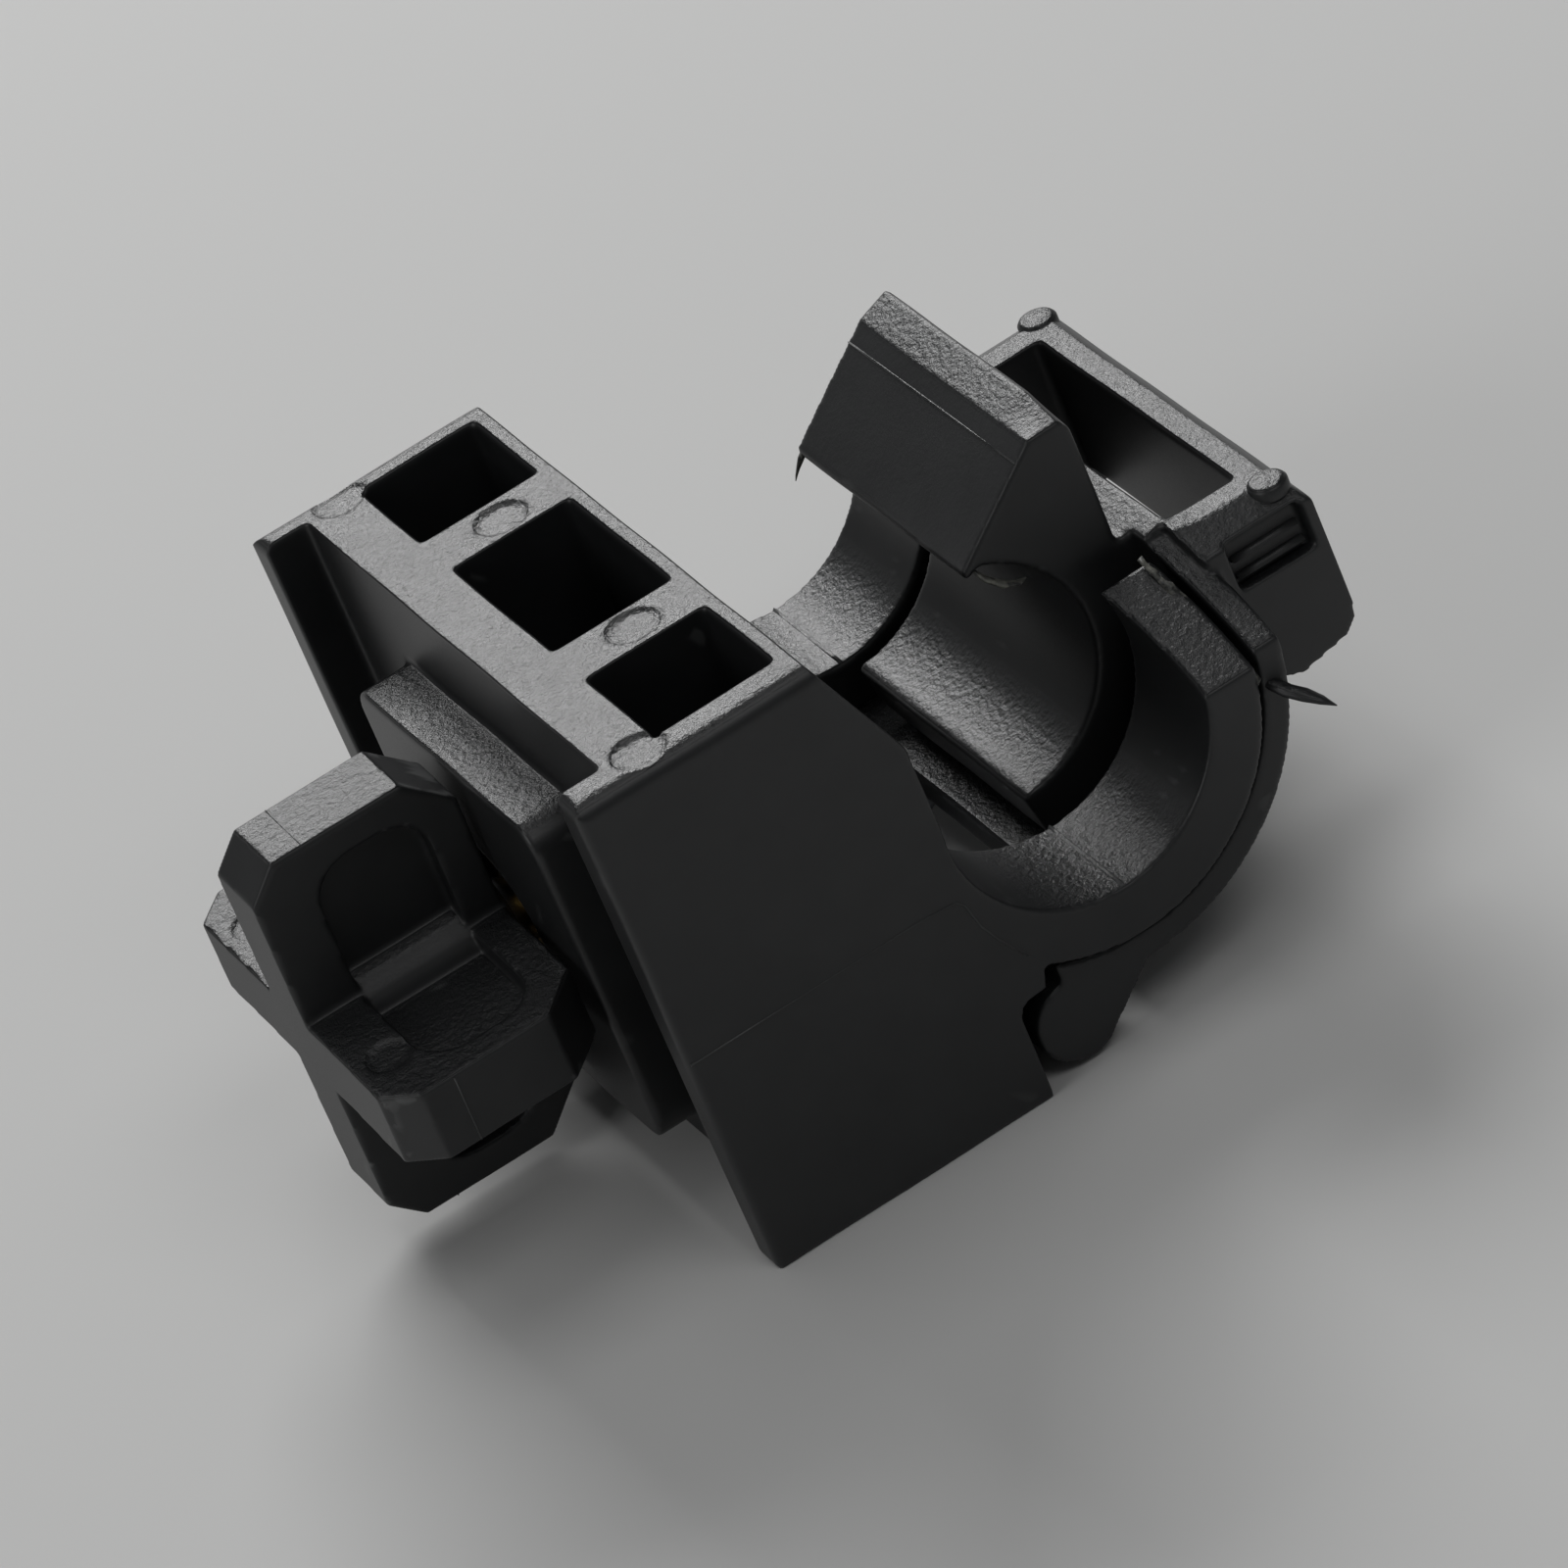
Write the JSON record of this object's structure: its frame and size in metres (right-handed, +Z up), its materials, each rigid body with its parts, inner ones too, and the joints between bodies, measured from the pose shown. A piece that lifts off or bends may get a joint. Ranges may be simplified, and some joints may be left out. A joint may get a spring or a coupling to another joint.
{
  "type": "spring clamp",
  "caption": "Small moulded clamp for a thin tube: pocketed block with two jaw rings, a sprung latch with a release tab, and a four-wing knob that screws a pad against the tube.",
  "frame": {"origin": "on the base plane at mid-length, below the top corner of the block on the jaw side", "axes": "+X from the knob towards the latch, +Y along the gripped tube, +Z up from the base plane to the open pockets and the mouth"},
  "size_m": [0.0379, 0.0266, 0.02],
  "materials": {
    "nylon_body": "black glass-filled nylon, moulded, grained top faces and matte sides",
    "nylon_latch": "black nylon, moulded, matte with flash left on the parting line",
    "nylon_knob": "black nylon, moulded, matte with bright worn edges",
    "screw_steel": "zinc-plated steel, turned and rolled thread",
    "insert_brass": "machined brass, knurled",
    "clip_steel": "stamped spring steel, phosphated",
    "pad_acetal": "black acetal, turned",
    "spring_steel": "drawn spring wire",
    "pin_steel": "ground steel pin"
  },
  "bodies": {
    "body": {"clamp_body": "nylon_body", "threaded_insert": "insert_brass", "hinge_pin": "pin_steel", "torsion_spring": "spring_steel"},
    "latch": {"spring_latch": "nylon_latch"},
    "pad": {"pressure_pad": "pad_acetal"},
    "knob": {"wing_knob": "nylon_knob", "clamp_screw": "screw_steel", "retaining_clip": "clip_steel"}
  },
  "joints": [
    {"name": "latch_swing", "type": "hinge", "parent": "body", "child": "latch", "pos_m": [0.004, 0, 0.0018], "axis": [0, 1, 0], "range_deg": [0, 25], "stiffness_Nm_per_rad": 0.02, "springref_deg": -17.19},
    {"name": "pad_travel", "type": "slide", "parent": "body", "child": "pad", "axis": [1, 0, 0], "range_m": [-0.002, 0.00015]},
    {"name": "knob_turn", "type": "hinge", "parent": "pad", "child": "knob", "pos_m": [0, 0, 0.0094], "axis": [1, 0, 0], "range_deg": [-1029, 78]}
  ],
  "couplings": [
    {"joint": "knob_turn", "follows": "pad_travel", "rad_per_m": 8976}
  ]
}
